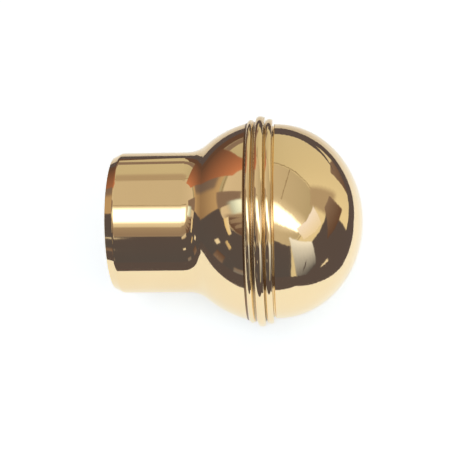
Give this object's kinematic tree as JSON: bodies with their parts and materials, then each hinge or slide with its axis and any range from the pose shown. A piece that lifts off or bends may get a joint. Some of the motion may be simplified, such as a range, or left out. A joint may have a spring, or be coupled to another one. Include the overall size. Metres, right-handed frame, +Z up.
{
  "type": "curtain pole finial",
  "caption": "Round ball finial with a reeded band and a socket neck that slides over the end of a curtain pole and closes it off.",
  "frame": {"origin": "centre of the pole stop, the ring face inside the socket that the end of the pole meets", "axes": "+X along the axis of the pole, out through the ball to the crown of the dome; the socket opens towards -X; +Z is up on a level pole"},
  "size_m": [0.079, 0.0672, 0.0672],
  "materials": {
    "polished_brass": "mirror polished outside, machined in the socket, as cast in the hollow"
  },
  "bodies": {
    "root": {"ball_finial": "polished_brass"}
  },
  "joints": []
}
